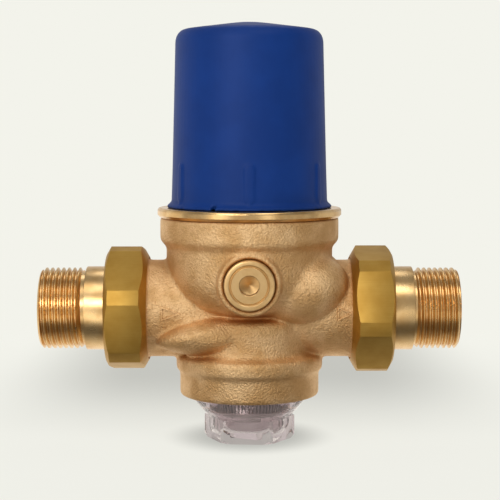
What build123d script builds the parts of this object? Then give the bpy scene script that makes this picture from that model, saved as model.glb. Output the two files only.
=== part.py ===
from build123d import *
import math
import os

# Pressure reducing valve with union tailpieces, in millimetres.
# Origin: centre of the foot of the clear bowl. +Z up, +X along the flow, the gauge plug faces -Y.

# Fits
thread_clearance = 0.08
running_clearance = 0.05
part_gap = 0.3
bearing_gap = 0.25
overshoot = 1.0

# Heights, stacked up from the foot of the clear bowl
foot_height = 6.8
flare_height = 6.5
rim_height = 7.2
band_step = 0.9
band_height = 4.2
dome_height = 13.8
port_rise = 1.4
bowl_drop = 1.3
casting_rise = 29.9
flange_height = 7.3
cove_height = 2.3
ring_height = 3.1
cap_gap = 0.2
housing_height = 47.8
rim_bottom = foot_height + flare_height
band_bottom = rim_bottom + rim_height + band_step
band_top = band_bottom + band_height
dome_top = band_top + dome_height
port_height = dome_top + port_rise
bowl_bottom = port_height - bowl_drop
casting_top = port_height + casting_rise
neck_top = casting_top - flange_height - cove_height
ring_top = casting_top + ring_height
cap_bottom = ring_top + cap_gap
housing_top = casting_top + housing_height

# Seat, poppet and strainer, from the seat's bore outwards
seat_bore = 6.5
seat_lip_width = 0.8
seat_wall = 4.5
seat_flange_width = 2.0
seat_thread_radius = seat_bore + seat_wall
seat_flange_radius = seat_thread_radius + seat_flange_width
seal_width = 1.5
seal_radius = seat_bore + seal_width
seal_thickness = 2.0
poppet_wall = 0.6
poppet_radius = seal_radius + poppet_wall
poppet_length = 5.5
poppet_floor = 1.5
poppet_nut_flats = 8.0
poppet_nut_height = 2.6
strainer_wall = 0.8
strainer_room = 1.0
strainer_radius = poppet_radius + strainer_room + strainer_wall
strainer_rounding = 2.5
slot_count = 60
slot_width = 0.5
slot_height = 9.6
slot_row_gap = 1.6
slot_rows = 2

# Lower half of the casting, round the strainer chamber
chamber_margin = 3.2
lower_chamber_radius = seat_flange_radius + chamber_margin
lower_wall = 4.5
rim_proud = 2.0
band_proud = 1.2
dome_radius = lower_chamber_radius + lower_wall
rim_radius = dome_radius + rim_proud
band_radius = rim_radius + band_proud
cast_rounding = 1.2
band_rounding = 1.6
dome_rounding = 9.2
lower_chamber_rounding = 3.0
body_thread_depth = 8.7
body_thread_top = rim_bottom + body_thread_depth

# Levels of the seat, which hangs in the wall between the chambers
seat_roof_drop = 4.8
upper_floor_rise = 2.2
lower_chamber_top = port_height - seat_roof_drop
upper_chamber_floor = port_height + upper_floor_rise
seat_flange = 2.5
seat_lip_proud = 0.5
seat_flange_bottom = lower_chamber_top - seat_flange
seat_lip = seat_flange_bottom - seat_lip_proud
seat_top_proud = 0.5
seat_top = upper_chamber_floor + seat_top_proud
guide_height = 3.5
guide_hub_radius = 6.0
guide_arm = 2.0
guide_arm_count = 3
seat_ring_section = 0.8

# Clear bowl, round the strainer
bowl_floor = 3.0
bowl_post_height = 4.0
bowl_post_radius = 4.5
strainer_bottom = bowl_floor + bowl_post_height
strainer_top = seat_flange_bottom - part_gap
slot_bottom = strainer_bottom + strainer_rounding + part_gap
bowl_cup_clearance = 0.4
bowl_cup_bore = strainer_radius + bowl_cup_clearance
bowl_cup_top = strainer_bottom + bowl_cup_clearance
bowl_cup_rounding = 2.0
bowl_cup_slope = 3.0
foot_wall = 2.05
foot_corner = 4.0
foot_bevel = 1.0
foot_flats = 2 * (bowl_cup_bore + foot_wall)
foot_radius = bowl_cup_bore + foot_corner
foot_turn = -4.4
bowl_thread_step = 0.7
bowl_neck_radius = lower_chamber_radius + bowl_thread_step
bowl_neck_wall = 3.9
bowl_neck_bore = bowl_neck_radius - bowl_neck_wall
bowl_neck_gap = 1.0
bowl_neck_top = body_thread_top - bowl_neck_gap
flare_ledge = 1.9
flare_radius = bowl_neck_radius + flare_ledge
bowl_ring_rise = 5.3
bowl_ring_height = rim_bottom + bowl_ring_rise
bowl_ring_groove = 1.7
bowl_ring_section = 0.78

# Set spring, diaphragm and the stem's upper end
wire_radius = 2.0
spring_radius = 15.9
spring_turns = 4.5
spring_ground = 0.6
spring_spigot = 1.6
spigot_margin = 0.5
spring_spigot_radius = spring_radius - wire_radius - spigot_margin
plate_margin = 1.1
plate_radius = spring_radius + plate_margin
lower_plate = 2.5
upper_plate = 3.0
diaphragm_depth = 9.7
diaphragm_ledge = casting_top - diaphragm_depth
diaphragm_thickness = 2.0
diaphragm_hole = 4.1
roll_height = 2.2
roll_width = 4.4
slip_ring_height = 1.0
stem_radius = 4.0
stem_shoulder_radius = 6.0
stem_shoulder = 2.0
stem_foot_radius = 3.0
stem_end_proud = 0.4
stem_nut_flats = 13.0
stem_nut_height = 4.0
valve_lift = 2.0

# Upper half of the casting, round the diaphragm
roll_margin = 5.5
upper_chamber_radius = plate_radius + roll_margin
upper_chamber_rounding = 10.0
upper_wall = 4.5
flange_proud = 2.0
thread_step = 2.9
neck_radius = upper_chamber_radius + upper_wall
flange_radius = neck_radius + flange_proud
bonnet_thread_radius = upper_chamber_radius + thread_step
bowl_rounding = 13.6

# Ports and the passages that lead from them to the chambers
water_bore = 9.5
port_wall = 6.3
port_radius = water_bore + port_wall
port_neck = 6.0
port_reach = neck_radius + port_neck
bore_depth = 5.5
bore_end = port_reach - bore_depth
passage_radius = 6.0
passage_shift = 2.3
inlet_passage_end = (13.0, 9.8)
outlet_passage_end = (14.0, 9.2)

# Lobes that carry the water past the chambers, front and back: centre, half sizes and tilt
inlet_lobe_centre = (-15.0, 12.0, port_height - 6.5)
inlet_lobe_size = (15.0, 9.5, 4.9)
inlet_lobe_tilt = -12
outlet_lobe_centre = (19.0, 10.5, port_height + 8.7)
outlet_lobe_size = (12.6, 11.8, 10.2)
outlet_lobe_tilt = 0

# Gauge port and its plug
gauge_drop = 19.5
gauge_height = casting_top - gauge_drop
gauge_thread_radius = 6.58
plug_head_width = 1.32
plug_head_radius = gauge_thread_radius + plug_head_width
gauge_recess_gap = 0.6
gauge_recess_radius = plug_head_radius + gauge_recess_gap
gauge_boss_wall = 1.5
gauge_boss_radius = gauge_recess_radius + gauge_boss_wall
gauge_boss_proud = 0.8
gauge_boss_face = neck_radius + gauge_boss_proud
gauge_boss_depth = 9.3
gauge_thread_wall = 2.62
gauge_boss_inner = gauge_thread_radius + gauge_thread_wall
gauge_recess_depth = 2.7
gauge_seal = 1.0
plug_head = 3.5
plug_thread = 5.6
plug_disc_radius = 5.75
plug_groove = 0.6
plug_groove_depth = 0.5
plug_hole_radius = 3.05
plug_hole_depth = 3.4

# Unions
spigot_wall = 7.12
spigot_radius = water_bore + spigot_wall
spigot_length = 6.5
gasket_thickness = 2.0
gasket_margin = 1.0
gasket_bore = water_bore + gasket_margin
collar_margin = 0.32
collar_radius = spigot_radius - collar_margin
collar_length = 2.3
tail_step = 0.5
tail_bore = water_bore + tail_step
barrel_wall = 3.6
barrel_radius = tail_bore + barrel_wall
barrel_length = 9.2
thread_relief = 0.7
thread_relief_depth = 0.6
pipe_thread_wall = 3.22
pipe_thread_radius = tail_bore + pipe_thread_wall
pipe_thread_length = 14.1
thread_chamfer = 1.0
nut_inner_face = port_reach - part_gap
nut_length = 13.6
nut_wall = 2.28
nut_corner_margin = 3.1
nut_flats = 2 * (spigot_radius + nut_wall)
nut_corner_flats = nut_flats + nut_corner_margin
nut_inner_chamfer = 2.1
nut_outer_chamfer = 1.5
nut_chamfer_angle = 30
inlet_nut_turn = -14.2
outlet_nut_turn = 197.5

# Bonnet, the spring housing that screws into the casting
ring_proud = 0.87
ring_radius = flange_radius + ring_proud
ring_rounding = 0.9
ring_bevel = 0.87
housing_margin = 0.4
housing_wall = 2.2
housing_bore = spring_radius + wire_radius + housing_margin
housing_radius = housing_bore + housing_wall
housing_roof = 4.0
housing_relief = 3.6
housing_rounding = 2.0
key_width = 4.4
key_depth = 1.2
key_count = 2

# Nut plate and spindle, which hang from the housing's roof
nut_plate_drop = 21.5
nut_plate_rest = housing_top - nut_plate_drop
nut_plate_height = 5.0
nut_plate_radius = housing_bore - part_gap
lug_gap = 0.2
lug_reach = housing_bore + key_depth - lug_gap
lug_width = key_width - 2 * lug_gap
spindle_thread_radius = 5.0
spindle_journal_radius = 6.0
spindle_collar_radius = 9.0
spindle_collar = 3.0
washer_thickness = 1.0
washer_radius = 9.5
clip_groove = 1.1
clip_radius = 7.6
clip_seat_radius = 5.2
clip_opening = 50
spindle_drop = 30.5
spindle_bottom = housing_top - spindle_drop
spindle_hex = 10.0
spindle_rise = 9.5
spindle_top = housing_top + spindle_rise

# Cap, over the housing
cap_wall = 2.0
cap_clearance = 1.3
cap_taper = 1.1
cap_base_proud = 0.4
cap_lip_proud = 1.4
cap_shoulder_radius = housing_radius + cap_clearance + cap_wall
cap_waist_radius = cap_shoulder_radius + cap_taper
cap_base_radius = cap_waist_radius + cap_base_proud
cap_lip_radius = cap_base_radius + cap_lip_proud
cap_flare_height = 1.7
cap_waist_rise = 13.8
cap_waist = cap_bottom + cap_waist_rise
cap_head_room = 10.3
cap_crown_rise = 3.6
cap_shoulder = housing_top + cap_head_room
cap_crown = cap_shoulder + cap_crown_rise
cap_rounding = 3.4
cap_hub_radius = 8.0
cap_hub_gap = 2.1
cap_hub_bottom = housing_top + cap_hub_gap
cap_rib_count = 6
cap_rib_width = 2.7
cap_rib_rise = 2.1
cap_rib_height = 11.9
cap_rib_bottom = cap_bottom + cap_rib_rise
cap_rib_top = cap_rib_bottom + cap_rib_height
cap_rib_proud = 0.45
cap_notch_width = 1.6
cap_notch_height = 1.5
cap_notch_angle = -115


def section(*corners):
    """Face in the XZ plane through (radius, height, rounding) corners."""
    points = [(radius, 0, height) for radius, height, _ in corners]
    return make_face(FilletPolyline(*points, radius=[corner[2] for corner in corners], close=True))


def turned(*corners):
    """Solid of revolution about the Z axis."""
    return revolve(section(*corners), axis=Axis.Z)


def tube(outer, inner, bottom, top):
    """Plain ring or sleeve on the Z axis."""
    return turned((inner, bottom, 0), (outer, bottom, 0), (outer, top, 0), (inner, top, 0))


def rod(radius, bottom, top):
    """Plain cylinder on the Z axis."""
    return Pos(0, 0, bottom) * Cylinder(radius, top - bottom, align=(Align.CENTER, Align.CENTER, Align.MIN))


def hexagon(flats, bottom, top, turn=0):
    """Hexagonal prism on the Z axis, with one flat facing the angle turn."""
    outline = RegularPolygon(flats / 2, 6, major_radius=False, rotation=turn - 30)
    return Pos(0, 0, bottom) * extrude(outline, top - bottom)


def o_ring(radius, section_radius, height):
    """Ring of round section about the Z axis."""
    return Pos(0, 0, height) * Torus(radius, section_radius)


def lobe_pair(centre, half_sizes, tilt):
    """Stretched sphere at the front and its twin at the back."""
    x, y, z = centre
    lobe = Rot(0, tilt, 0) * scale(Sphere(1), by=half_sizes)
    return [Pos(x, side * y, z) * lobe for side in (-1, 1)]


def outlet_plane():
    """Plane whose Z axis runs out of the outlet."""
    return Plane(origin=(0, 0, port_height), x_dir=(0, 1, 0), z_dir=(1, 0, 0))


def inlet_plane():
    """Plane whose Z axis runs out of the inlet."""
    return Plane(origin=(0, 0, port_height), x_dir=(0, -1, 0), z_dir=(-1, 0, 0))


def gauge_plane():
    """Plane whose Z axis runs out of the gauge port."""
    return Plane(origin=(0, 0, gauge_height), x_dir=(1, 0, 0), z_dir=(0, -1, 0))


def lower_casting():
    """Rim, band and dome round the strainer chamber."""
    return turned(
        (0, rim_bottom, 0),
        (rim_radius, rim_bottom, cast_rounding / 2),
        (rim_radius, rim_bottom + rim_height, cast_rounding / 2),
        (band_radius, band_bottom, band_rounding / 2),
        (band_radius, band_top, band_rounding),
        (dome_radius, band_top + band_rounding, band_rounding),
        (dome_radius, dome_top, dome_rounding),
        (0, dome_top, 0),
    )


def upper_casting():
    """Bowl under the diaphragm, its neck and the flange that takes the bonnet."""
    return turned(
        (0, bowl_bottom, 0),
        (neck_radius, bowl_bottom, bowl_rounding),
        (neck_radius, neck_top, cast_rounding),
        (flange_radius, neck_top + cove_height, cast_rounding),
        (flange_radius, casting_top, 0),
        (0, casting_top, 0),
    )


def waterway(outer_radius, inner_end, outer_end):
    """Round bar or bore along both arms of the valve."""
    bar = rod(outer_radius, inner_end, outer_end)
    return [outlet_plane() * bar, inlet_plane() * bar]


def slanted_passage(start, end, radius):
    """Round passage from one point to another in the XZ plane."""
    run = Vector(*end) - Vector(*start)
    path = Plane(origin=start, x_dir=(0, 1, 0), z_dir=run)
    return path * rod(radius, 0, run.length)


def chambers():
    """The spaces inside the casting that are cored or bored."""
    thread_bore = bowl_neck_radius + thread_clearance
    below = turned(
        (0, rim_bottom - overshoot, 0),
        (thread_bore, rim_bottom - overshoot, 0),
        (thread_bore, body_thread_top, 0),
        (lower_chamber_radius, body_thread_top, 0),
        (lower_chamber_radius, lower_chamber_top, lower_chamber_rounding),
        (0, lower_chamber_top, 0),
    )
    above = turned(
        (0, upper_chamber_floor, 0),
        (upper_chamber_radius, upper_chamber_floor, upper_chamber_rounding),
        (upper_chamber_radius, diaphragm_ledge, 0),
        (bonnet_thread_radius + thread_clearance, diaphragm_ledge, 0),
        (bonnet_thread_radius + thread_clearance, casting_top + overshoot, 0),
        (0, casting_top + overshoot, 0),
    )
    seat_hole_radius = seat_thread_radius + thread_clearance
    seat_hole = rod(seat_hole_radius, lower_chamber_top - overshoot, upper_chamber_floor + overshoot)
    bores = waterway(water_bore, bore_end, port_reach + spigot_length + overshoot)
    start = bore_end + 2 * overshoot
    down = slanted_passage(
        (-start, 0, port_height - passage_shift),
        (-inlet_passage_end[0], 0, port_height - inlet_passage_end[1]),
        passage_radius,
    )
    up = slanted_passage(
        (start, 0, port_height + passage_shift),
        (outlet_passage_end[0], 0, port_height + outlet_passage_end[1]),
        passage_radius,
    )
    return [below, above, seat_hole, *bores, down, up]


def valve_body():
    """Sand casting with its ports, chambers, lobes and gauge boss."""
    shell = lower_casting() + upper_casting()
    shell += waterway(port_radius, 0, port_reach)
    shell += lobe_pair(inlet_lobe_centre, inlet_lobe_size, inlet_lobe_tilt)
    shell += lobe_pair(outlet_lobe_centre, outlet_lobe_size, outlet_lobe_tilt)
    boss = rod(gauge_boss_radius, 0, gauge_boss_face)
    boss = fillet(boss.edges().group_by(Axis.Z)[-1], cast_rounding)
    shell += gauge_plane() * boss
    spigot = rod(spigot_radius, port_reach, port_reach + spigot_length)
    spigot = chamfer(spigot.edges().group_by(Axis.Z)[-1], thread_chamfer)
    shell += [outlet_plane() * spigot, inlet_plane() * spigot]
    body = shell - chambers()
    boss_inner_end = gauge_boss_face - gauge_boss_depth
    inner_boss = rod(gauge_boss_inner, boss_inner_end, gauge_boss_face - gauge_recess_depth)
    body += gauge_plane() * inner_boss
    recess = rod(gauge_recess_radius, gauge_boss_face - gauge_recess_depth, gauge_boss_face + overshoot)
    tapping = rod(gauge_thread_radius + running_clearance, boss_inner_end - overshoot, gauge_boss_face)
    return body - gauge_plane() * (recess + tapping)


def bonnet():
    """Flange ring, threaded skirt and spring housing, turned from one piece."""
    skirt_bottom = diaphragm_ledge + diaphragm_thickness + slip_ring_height
    roof_inside = housing_top - housing_roof
    body = turned(
        (upper_chamber_radius, skirt_bottom, 0),
        (bonnet_thread_radius, skirt_bottom, 0),
        (bonnet_thread_radius, casting_top, 0),
        (ring_radius - ring_bevel, casting_top, 0),
        (ring_radius, casting_top + ring_bevel, 0),
        (ring_radius, ring_top, ring_rounding),
        (housing_radius, ring_top, ring_rounding),
        (housing_radius, housing_top, housing_rounding),
        (spindle_journal_radius + running_clearance, housing_top, 0),
        (spindle_journal_radius + running_clearance, roof_inside, 0),
        (housing_bore, roof_inside, 0),
        (housing_bore, skirt_bottom + housing_relief, 0),
        (upper_chamber_radius, skirt_bottom + housing_relief, 0),
    )
    key_way = Pos(housing_bore, 0, skirt_bottom) * Box(
        2 * key_depth, key_width, roof_inside - skirt_bottom, align=(Align.CENTER, Align.CENTER, Align.MIN)
    )
    return body - PolarLocations(0, key_count) * key_way


def diaphragm_levels():
    """Heights of the stack: shoulder, lower plate, diaphragm, upper plate, its top."""
    lower = diaphragm_ledge - lower_plate
    upper = diaphragm_ledge + diaphragm_thickness
    return lower - stem_shoulder, lower, diaphragm_ledge, upper, upper + upper_plate


def diaphragm():
    """Rubber disc with one rolled convolution between the plates and the clamped rim."""
    bottom = diaphragm_ledge
    top = bottom + diaphragm_thickness
    roll_start = plate_radius + part_gap
    roll_end = roll_start + roll_width
    roll = diaphragm_thickness / 2
    return turned(
        (diaphragm_hole, bottom, 0),
        (roll_start + roll, bottom, roll / 2),
        (roll_start + 1.5 * roll, bottom + roll_height, roll / 2),
        (roll_end - 1.5 * roll, bottom + roll_height, roll / 2),
        (roll_end - roll, bottom, roll / 2),
        (bonnet_thread_radius - part_gap, bottom, 0),
        (bonnet_thread_radius - part_gap, top, 0),
        (roll_end, top, roll / 2),
        (roll_end - roll, top + roll_height, roll),
        (roll_start + roll, top + roll_height, roll),
        (roll_start, top, roll / 2),
        (diaphragm_hole, top, 0),
    )


def slip_ring():
    """Thin ring that lets the bonnet turn on the diaphragm's rim."""
    bottom = diaphragm_ledge + diaphragm_thickness
    return tube(bonnet_thread_radius - part_gap, upper_chamber_radius, bottom, bottom + slip_ring_height)


def diaphragm_support_plate():
    """Plate under the diaphragm, with a rounded rim."""
    _, bottom, top, _, _ = diaphragm_levels()
    return turned(
        (stem_radius + running_clearance, bottom, 0),
        (plate_radius, bottom, lower_plate / 3),
        (plate_radius, top, lower_plate / 3),
        (stem_radius + running_clearance, top, 0),
    )


def spring_seat_plate():
    """Plate on the diaphragm, whose raised middle centres the spring."""
    _, _, _, bottom, top = diaphragm_levels()
    return turned(
        (stem_radius + running_clearance, bottom, 0),
        (plate_radius, bottom, upper_plate / 3),
        (plate_radius, top, upper_plate / 3),
        (spring_spigot_radius, top, 0),
        (spring_spigot_radius, top + spring_spigot, spring_spigot / 3),
        (stem_radius + running_clearance, top + spring_spigot, 0),
    )


def valve_stem():
    """Turned stem with a shoulder under the diaphragm and a thinner foot for the poppet."""
    shoulder_bottom, shoulder_top, _, _, _ = diaphragm_levels()
    poppet_bottom = seat_lip - valve_lift - poppet_length
    foot_top = poppet_bottom + poppet_floor
    stem_bottom = poppet_bottom - poppet_nut_height - stem_end_proud
    stem_top = diaphragm_levels()[4] + spring_spigot + stem_nut_height + stem_end_proud
    return turned(
        (0, stem_bottom, 0),
        (stem_foot_radius, stem_bottom, 0),
        (stem_foot_radius, foot_top, 0),
        (stem_radius, foot_top, 0),
        (stem_radius, shoulder_bottom, 0),
        (stem_shoulder_radius, shoulder_bottom, 0),
        (stem_shoulder_radius, shoulder_top, 0),
        (stem_radius, shoulder_top, 0),
        (stem_radius, stem_top, 0),
        (0, stem_top, 0),
    )


def hex_nut(flats, hole, bottom, height):
    """Plain hexagon nut on the Z axis, bevelled at both faces."""
    body = hexagon(flats, bottom, bottom + height)
    reach = flats / math.sqrt(3)
    bevel = (reach - flats / 2) * math.tan(math.radians(nut_chamfer_angle))
    limit = turned(
        (0, bottom, 0),
        (flats / 2, bottom, 0),
        (reach, bottom + bevel, 0),
        (reach, bottom + height - bevel, 0),
        (flats / 2, bottom + height, 0),
        (0, bottom + height, 0),
    )
    return (body & limit) - rod(hole, bottom - overshoot, bottom + height + overshoot)


def stem_nut():
    """Nut that clamps the plates and the diaphragm to the stem."""
    bottom = diaphragm_levels()[4] + spring_spigot
    return hex_nut(stem_nut_flats, stem_radius + thread_clearance, bottom, stem_nut_height)


def poppet():
    """Cup below the seat that carries the seal on its upper face."""
    top = seat_lip - valve_lift
    bottom = top - poppet_length
    return turned(
        (stem_foot_radius + running_clearance, bottom, 0),
        (poppet_radius, bottom, poppet_length / 4),
        (poppet_radius, top, 0),
        (seal_radius + running_clearance, top, 0),
        (seal_radius + running_clearance, top - seal_thickness, 0),
        (stem_radius + running_clearance, top - seal_thickness, 0),
        (stem_radius + running_clearance, bottom + poppet_floor, 0),
        (stem_foot_radius + running_clearance, bottom + poppet_floor, 0),
    )


def valve_seal():
    """Flat rubber ring let into the poppet."""
    top = seat_lip - valve_lift
    return tube(seal_radius, stem_radius + 2 * running_clearance, top - seal_thickness, top)


def poppet_nut():
    """Nut that holds the poppet on the stem."""
    bottom = seat_lip - valve_lift - poppet_length - poppet_nut_height
    return hex_nut(poppet_nut_flats, stem_foot_radius + thread_clearance, bottom, poppet_nut_height)


def seat_insert():
    """Screwed-in seat with a raised lip, and a spider above it that guides the stem."""
    body = turned(
        (seat_bore, seat_lip, 0),
        (seat_bore + seat_lip_width, seat_lip, 0),
        (seat_bore + 2 * seat_lip_width, seat_flange_bottom, 0),
        (seat_flange_radius, seat_flange_bottom, 0),
        (seat_flange_radius, lower_chamber_top - 2 * seat_ring_section, 0),
        (seat_thread_radius, lower_chamber_top - 2 * seat_ring_section, 0),
        (seat_thread_radius, seat_top, thread_chamfer),
        (seat_bore + 2 * seat_lip_width, seat_top, 0),
        (seat_bore + 2 * seat_lip_width, seat_flange_bottom + 3 * seat_lip_width, 0),
        (seat_bore, seat_flange_bottom + 2 * seat_lip_width, 0),
    )
    guide_bottom = seat_top - guide_height
    arm_length = seat_thread_radius - seat_lip_width
    arm = Pos(0, 0, guide_bottom) * Box(
        arm_length, guide_arm, guide_height, align=(Align.MIN, Align.CENTER, Align.MIN)
    )
    body += [*(PolarLocations(0, guide_arm_count) * arm), rod(guide_hub_radius, guide_bottom, seat_top)]
    return body - rod(stem_radius + running_clearance, guide_bottom - overshoot, seat_top + overshoot)


def seat_o_ring():
    """Seal between the seat's flange and the casting."""
    radius = seat_thread_radius + seat_ring_section + thread_clearance
    return o_ring(radius, seat_ring_section - thread_clearance / 2, lower_chamber_top - seat_ring_section)


def spring_levels():
    """Bottom and top of the spring at rest."""
    return diaphragm_levels()[4], nut_plate_rest


def set_spring():
    """Compression spring with ground ends."""
    bottom, top = spring_levels()
    first_coil = bottom + wire_radius - spring_ground
    rise = top - wire_radius + spring_ground - first_coil
    helix = Pos(0, 0, first_coil) * Helix(pitch=rise / spring_turns, height=rise, radius=spring_radius)
    wire_section = Plane(origin=helix @ 0, z_dir=helix % 0) * Circle(wire_radius)
    coil = sweep(wire_section, path=helix, is_frenet=True)
    return coil & rod(spring_radius + 2 * wire_radius, bottom, top)


def spring_nut_plate():
    """Plate that the spindle raises and lowers, with lugs that keep it from turning."""
    top = nut_plate_rest + nut_plate_height
    plate = turned(
        (0, nut_plate_rest - spring_spigot, 0),
        (spring_spigot_radius, nut_plate_rest - spring_spigot, spring_spigot / 3),
        (spring_spigot_radius, nut_plate_rest, 0),
        (nut_plate_radius, nut_plate_rest, 0),
        (nut_plate_radius, top, spring_spigot / 3),
        (0, top, 0),
    )
    lug = Pos(0, 0, nut_plate_rest) * Box(
        lug_reach, lug_width, nut_plate_height, align=(Align.MIN, Align.CENTER, Align.MIN)
    )
    plate += PolarLocations(0, key_count) * lug
    hole_bottom = nut_plate_rest - spring_spigot - overshoot
    return plate - rod(spindle_thread_radius + thread_clearance, hole_bottom, top + overshoot)


def spindle_levels():
    """Underside of the housing roof, top of the spindle collar, and its underside."""
    roof = housing_top - housing_roof
    return roof, roof - washer_thickness, roof - washer_thickness - spindle_collar


def adjusting_spindle():
    """Captive screw: thread, thrust collar, journal, clip groove and hexagon head."""
    _, collar_top, collar_bottom = spindle_levels()
    groove = housing_top + part_gap
    shaft = turned(
        (0, spindle_bottom, 0),
        (spindle_thread_radius, spindle_bottom, thread_chamfer),
        (spindle_thread_radius, collar_bottom, 0),
        (spindle_collar_radius, collar_bottom, 0),
        (spindle_collar_radius, collar_top, 0),
        (spindle_journal_radius, collar_top, 0),
        (spindle_journal_radius, groove, 0),
        (clip_seat_radius, groove, 0),
        (clip_seat_radius, groove + clip_groove, 0),
        (spindle_journal_radius, groove + clip_groove, 0),
        (spindle_journal_radius, cap_hub_bottom, 0),
        (0, cap_hub_bottom, 0),
    )
    head = hexagon(spindle_hex, cap_hub_bottom, spindle_top)
    return shaft + head


def thrust_washer():
    """Washer between the spindle's collar and the housing roof."""
    roof, collar_top, _ = spindle_levels()
    return tube(washer_radius, spindle_journal_radius + running_clearance, collar_top, roof)


def spindle_clip():
    """Open spring clip in the spindle's groove, above the housing."""
    bottom = housing_top + part_gap + thread_clearance / 2
    top = bottom + clip_groove - thread_clearance
    ring = tube(clip_radius, clip_seat_radius + running_clearance, bottom, top)
    half_opening = math.radians(clip_opening / 2)
    reach = 2 * clip_radius
    gap = make_face(Polyline(
        (0, 0),
        (reach, -reach * math.tan(half_opening)),
        (reach, reach * math.tan(half_opening)),
        close=True,
    ))
    return ring - Pos(0, 0, bottom - overshoot) * extrude(gap, clip_groove + 2 * overshoot)


def cap_skin(offset):
    """Outline of the cap, moved inwards by offset."""
    flare_top = cap_bottom + cap_flare_height
    return turned(
        (0, cap_bottom, 0),
        (cap_lip_radius - offset, cap_bottom, 0),
        (cap_lip_radius - offset, cap_bottom + cap_flare_height / 3, 0),
        (cap_base_radius - offset, flare_top, cap_flare_height / 3),
        (cap_waist_radius - offset, cap_waist, 0),
        (cap_shoulder_radius - offset, cap_shoulder + cap_rounding / 4 - offset, cap_rounding),
        (0, cap_crown - offset, 0),
    )


def cap_rib():
    """One short upright rib with round ends on the cap's skin."""
    height = cap_rib_top - cap_rib_bottom
    outline = SlotOverall(height, cap_rib_width, rotation=90)
    middle = (cap_rib_top + cap_rib_bottom) / 2
    face = Plane(origin=(0, 0, middle), x_dir=(1, 0, 0), z_dir=(0, -1, 0)) * outline
    reach = cap_base_radius + cap_rib_proud
    slab = extrude(face, reach)
    lean = (cap_base_radius - cap_waist_radius) / (cap_waist - cap_bottom)
    top_reach = cap_base_radius + cap_rib_proud - lean * (cap_rib_top - cap_bottom)
    limit = turned(
        (0, cap_rib_bottom - overshoot, 0),
        (reach, cap_rib_bottom - overshoot, 0),
        (top_reach, cap_rib_top + overshoot, 0),
        (0, cap_rib_top + overshoot, 0),
    )
    core = rod(cap_waist_radius - cap_wall, cap_rib_bottom - 2 * overshoot, cap_rib_top + 2 * overshoot)
    return (slab & limit) - core


def adjusting_cap():
    """Moulded cap: thin shell, six ribs, a notch in the lip and a hub on the spindle's head."""
    inner_skin = cap_skin(cap_wall)
    ribs = PolarLocations(0, cap_rib_count) * cap_rib()
    cap = cap_skin(0) + ribs - inner_skin
    hub = rod(cap_hub_radius, cap_hub_bottom, cap_shoulder + overshoot)
    socket_flats = spindle_hex + 2 * running_clearance
    socket = hexagon(socket_flats, cap_hub_bottom - overshoot, spindle_top + part_gap)
    notch = Rot(0, 0, cap_notch_angle) * Pos(cap_lip_radius, 0, cap_bottom) * Box(
        2 * cap_flare_height, cap_notch_width, 2 * cap_notch_height
    )
    return cap + hub - socket - notch


def strainer():
    """Slotted basket with a round closed end, standing on the post of the bowl."""
    inner = strainer_radius - strainer_wall
    basket = turned(
        (0, strainer_bottom, 0),
        (strainer_radius, strainer_bottom, strainer_rounding),
        (strainer_radius, strainer_top, 0),
        (inner, strainer_top, 0),
        (inner, strainer_bottom + strainer_wall, strainer_rounding - strainer_wall),
        (0, strainer_bottom + strainer_wall, 0),
    )
    reach = strainer_radius + overshoot
    slot = Box(reach, slot_width, slot_height, align=(Align.MIN, Align.CENTER, Align.MIN))
    slots = []
    for row in range(slot_rows):
        height = slot_bottom + row * (slot_height + slot_row_gap)
        slots += PolarLocations(0, slot_count) * (Pos(inner - overshoot, 0, height) * slot)
    return basket - slots


def clear_bowl():
    """Moulded bowl: hexagon foot, flared shoulder, threaded neck and a post for the strainer."""
    foot = hexagon(foot_flats, 0, foot_height, turn=foot_turn - 90)
    limit = turned(
        (0, 0, 0),
        (foot_radius - foot_bevel, 0, 0),
        (foot_radius, foot_bevel, 0),
        (foot_radius, foot_height, 0),
        (0, foot_height, 0),
    )
    groove_bottom = bowl_ring_height
    groove_top = bowl_ring_height + 2 * bowl_ring_section + thread_clearance
    shoulder = turned(
        (0, foot_height, 0),
        (foot_radius - foot_bevel, foot_height, 0),
        (flare_radius, rim_bottom - foot_bevel, 0),
        (flare_radius, rim_bottom, 0),
        (bowl_neck_radius, rim_bottom, 0),
        (bowl_neck_radius, groove_bottom, 0),
        (bowl_neck_radius - bowl_ring_groove, groove_bottom, 0),
        (bowl_neck_radius - bowl_ring_groove, groove_top, 0),
        (bowl_neck_radius, groove_top, 0),
        (bowl_neck_radius, bowl_neck_top, 0),
        (0, bowl_neck_top, 0),
    )
    hollow = turned(
        (0, bowl_floor, 0),
        (bowl_cup_bore, bowl_floor, bowl_cup_rounding),
        (bowl_cup_bore, bowl_cup_top, 0),
        (bowl_neck_bore, bowl_cup_top + bowl_cup_slope, 0),
        (bowl_neck_bore, bowl_neck_top + overshoot, 0),
        (0, bowl_neck_top + overshoot, 0),
    )
    bowl = (foot & limit) + shoulder - hollow
    return bowl + rod(bowl_post_radius, bowl_floor, strainer_bottom)


def bowl_o_ring():
    """Seal in the groove of the bowl's neck."""
    radius = bowl_neck_radius - bowl_ring_section - running_clearance
    height = bowl_ring_height + bowl_ring_section + thread_clearance / 2
    return o_ring(radius, bowl_ring_section, height)


def union_levels():
    """Distances from the valve's axis: spigot end, collar, and the nut's shoulder."""
    spigot_end = port_reach + spigot_length
    collar = spigot_end + gasket_thickness
    return spigot_end, collar, collar + collar_length


def gasket():
    """Flat ring between the spigot and the tailpiece, on the Z axis."""
    start, end, _ = union_levels()
    return tube(collar_radius, gasket_bore, start, end)


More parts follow.
